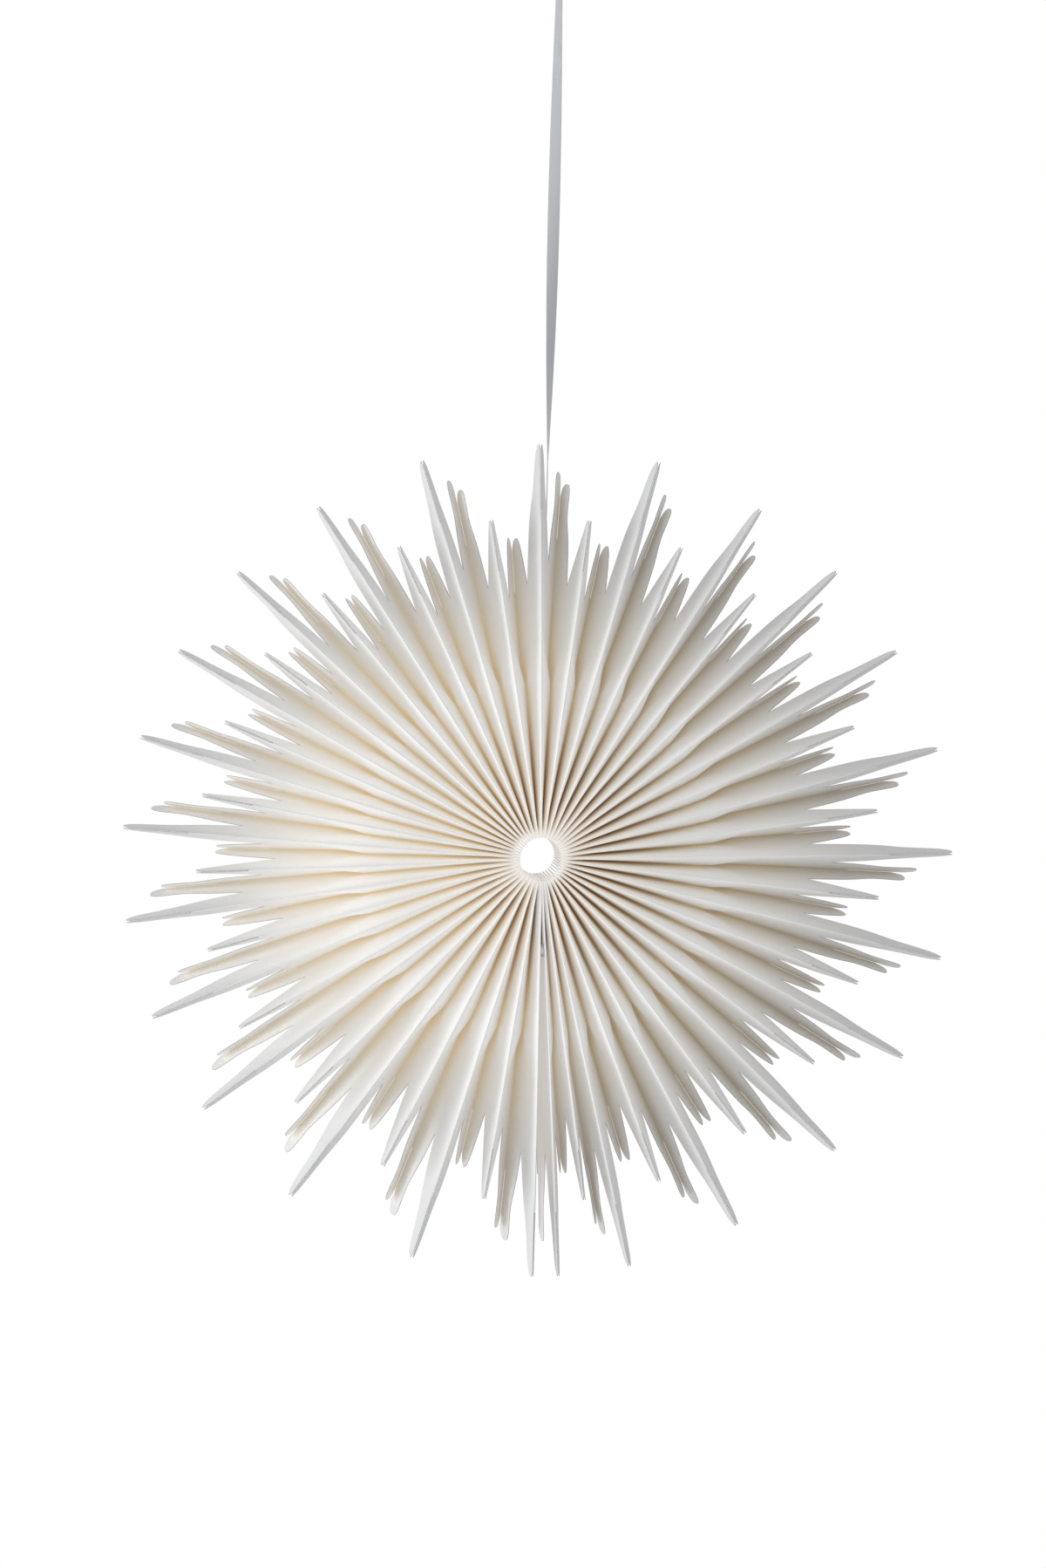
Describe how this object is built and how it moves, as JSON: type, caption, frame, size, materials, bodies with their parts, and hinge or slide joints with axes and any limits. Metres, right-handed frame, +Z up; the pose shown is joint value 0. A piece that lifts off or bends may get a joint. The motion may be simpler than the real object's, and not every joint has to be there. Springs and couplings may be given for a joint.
{
  "type": "hanging paper star",
  "caption": "Round hanging decoration of pleated white card, its rim cut into long and short blades, on a flat ribbon that ends in a knotted loop.",
  "frame": {"origin": "middle of the hole, halfway between the front creases and the back creases", "axes": "+Y runs along the hole to the back, so the front faces -Y; +Z is up, towards the hanging loop; +X is to the right seen from the front"},
  "size_m": [0.3998, 0.0806, 0.6945],
  "materials": {
    "card": "matt uncoated white card",
    "magnet": "plated",
    "ribbon": "satin weave"
  },
  "bodies": {
    "root": {"leaf_01": "card", "leaf_02": "card", "leaf_03": "card", "leaf_04": "card", "leaf_05": "card", "leaf_06": "card", "leaf_07": "card", "leaf_08": "card", "leaf_09": "card", "leaf_10": "card", "leaf_11": "card", "leaf_12": "card", "leaf_13": "card", "leaf_14": "card", "leaf_15": "card", "leaf_16": "card", "leaf_17": "card", "leaf_18": "card", "leaf_19": "card", "leaf_20": "card", "leaf_21": "card", "leaf_22": "card", "leaf_23": "card", "leaf_24": "card", "leaf_25": "card", "magnet_left": "magnet", "magnet_right": "magnet", "ribbon": "ribbon", "knot": "ribbon", "hanging_loop": "ribbon"}
  },
  "joints": []
}
